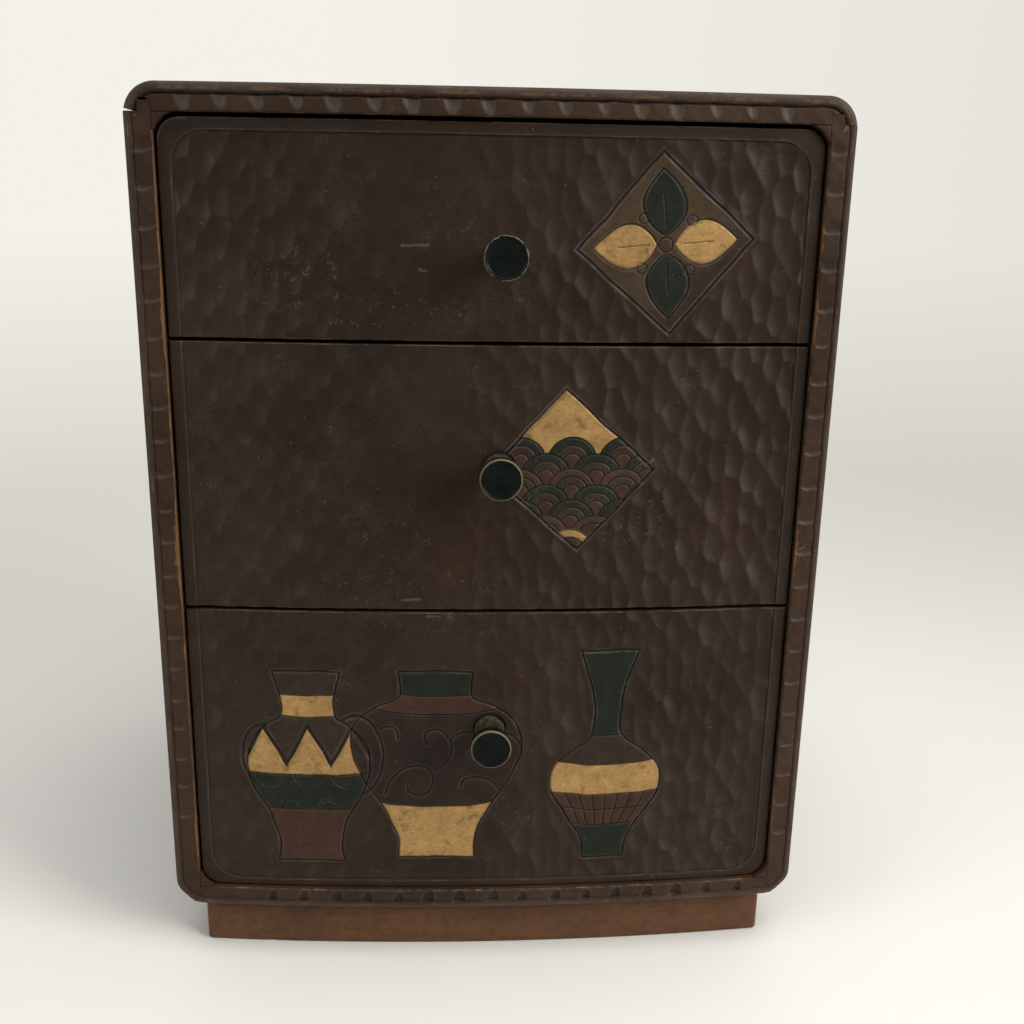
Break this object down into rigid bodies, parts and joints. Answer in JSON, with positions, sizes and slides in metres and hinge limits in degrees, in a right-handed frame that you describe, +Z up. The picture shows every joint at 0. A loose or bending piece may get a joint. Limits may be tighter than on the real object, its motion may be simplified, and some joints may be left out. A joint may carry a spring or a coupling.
{
  "type": "sewing box",
  "caption": "Carved dark wood sewing box: a small bow-fronted chest of sliding drawers with turned knobs, lapped corners and a plain plinth.",
  "frame": {"origin": "on the floor, under the middle of the whole box with its knobs, drawers shut", "axes": "+X to the right as the front is seen, -Y out of the front, +Z up"},
  "size_m": [0.26, 0.2528, 0.349],
  "materials": {
    "carved_wood": "dark brown lacquer over hand-gouged wood, satin, worn along the edges",
    "plinth_wood": "reddish brown stain, rubbed satin",
    "back_wood": "thin brown stain, matte",
    "plain_wood": "bare planed wood, matte",
    "knob_lacquer": "turned wood under black green lacquer, rim worn pale",
    "peg_bamboo": "bare bamboo, matte",
    "screw_steel": "plain steel, dull"
  },
  "bodies": {
    "cabinet": {"top_board": "carved_wood", "bottom_board": "carved_wood", "left_side": "carved_wood", "right_side": "carved_wood", "upper_left_corner_block": "carved_wood", "upper_right_corner_block": "carved_wood", "lower_left_corner_block": "carved_wood", "lower_right_corner_block": "carved_wood", "back_panel": "back_wood", "left_low_peg": "peg_bamboo", "left_middle_peg": "peg_bamboo", "left_high_peg": "peg_bamboo", "right_low_peg": "peg_bamboo", "right_middle_peg": "peg_bamboo", "right_high_peg": "peg_bamboo", "plinth_front": "plinth_wood", "plinth_back": "plinth_wood", "plinth_left": "plinth_wood", "plinth_right": "plinth_wood", "top_left_runner": "plain_wood", "top_right_runner": "plain_wood", "middle_left_runner": "plain_wood", "middle_right_runner": "plain_wood", "bottom_left_runner": "plain_wood", "bottom_right_runner": "plain_wood"},
    "top_drawer": {"top_drawer_front": "carved_wood", "top_drawer_left": "plain_wood", "top_drawer_right": "plain_wood", "top_drawer_back": "plain_wood", "top_drawer_bottom": "plain_wood", "top_knob": "knob_lacquer", "top_knob_screw": "screw_steel"},
    "middle_drawer": {"middle_drawer_front": "carved_wood", "middle_drawer_left": "plain_wood", "middle_drawer_right": "plain_wood", "middle_drawer_back": "plain_wood", "middle_drawer_bottom": "plain_wood", "middle_knob": "knob_lacquer", "middle_knob_screw": "screw_steel"},
    "bottom_drawer": {"bottom_drawer_front": "carved_wood", "bottom_drawer_left": "plain_wood", "bottom_drawer_right": "plain_wood", "bottom_drawer_back": "plain_wood", "bottom_drawer_bottom": "plain_wood", "bottom_knob": "knob_lacquer", "bottom_knob_screw": "screw_steel"}
  },
  "joints": [
    {"name": "top_drawer_slide", "type": "slide", "parent": "cabinet", "child": "top_drawer", "axis": [0, -1, 0], "range_m": [0, 0.165]},
    {"name": "middle_drawer_slide", "type": "slide", "parent": "cabinet", "child": "middle_drawer", "axis": [0, -1, 0], "range_m": [0, 0.165]},
    {"name": "bottom_drawer_slide", "type": "slide", "parent": "cabinet", "child": "bottom_drawer", "axis": [0, -1, 0], "range_m": [0, 0.165]}
  ]
}
